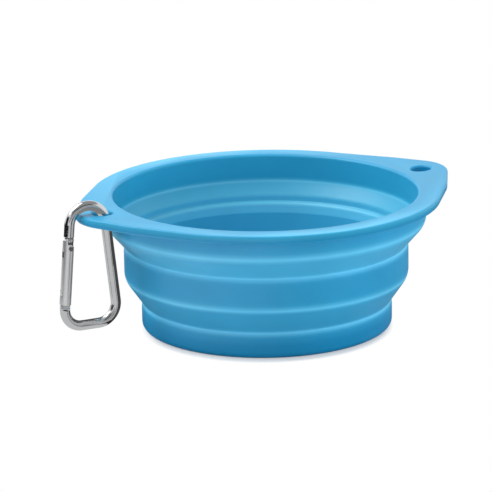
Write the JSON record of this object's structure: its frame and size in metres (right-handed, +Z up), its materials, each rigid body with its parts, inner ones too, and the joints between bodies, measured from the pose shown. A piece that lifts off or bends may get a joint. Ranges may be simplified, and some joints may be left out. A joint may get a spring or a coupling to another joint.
{
  "type": "portable pet bowl",
  "caption": "Collapsible round silicone pet bowl with stepped folding walls, a flat rim with a holed ear at each end, and a pear-shaped spring-gate carabiner hanging in an ear.",
  "frame": {"origin": "centre of the flat underside, on the surface that the bowl stands on", "axes": "+Z up out of the bowl's mouth, +X from the carabiner's ear towards the free ear"},
  "size_m": [0.1602, 0.132, 0.0568],
  "materials": {
    "silicone": "blue silicone with a soft satin sheen",
    "polished_aluminium": "polished bare metal",
    "satin_aluminium": "satin bare metal",
    "pin_steel": "plain steel"
  },
  "bodies": {
    "base": {"base_cup": "silicone", "lower_fold": "silicone"},
    "middle": {"middle_band": "silicone", "upper_fold": "silicone"},
    "rim": {"rim_ring": "silicone"},
    "carabiner": {"carabiner_frame": "polished_aluminium", "gate_rivet": "pin_steel"},
    "gate": {"carabiner_gate": "satin_aluminium", "gate_plunger": "pin_steel", "gate_spring": "pin_steel"}
  },
  "joints": [
    {"name": "lower_collapse", "type": "slide", "parent": "base", "child": "middle", "axis": [0, 0, -1], "range_m": [0, 0.019], "deforming": ["lower_fold"]},
    {"name": "upper_collapse", "type": "slide", "parent": "middle", "child": "rim", "axis": [0, 0, -1], "range_m": [0, 0.02], "deforming": ["upper_fold"]},
    {"name": "carabiner_swing", "type": "hinge", "parent": "rim", "child": "carabiner", "pos_m": [-0.0726, 0, 0.04772], "axis": [0, 1, 0], "range_deg": [-8, 170]},
    {"name": "gate_opening", "type": "hinge", "parent": "carabiner", "child": "gate", "pos_m": [-0.08021, 0, 0.03996], "axis": [0, -1, 0], "range_deg": [0, 40], "stiffness_Nm_per_rad": 0.03, "springref_deg": -34.38}
  ]
}
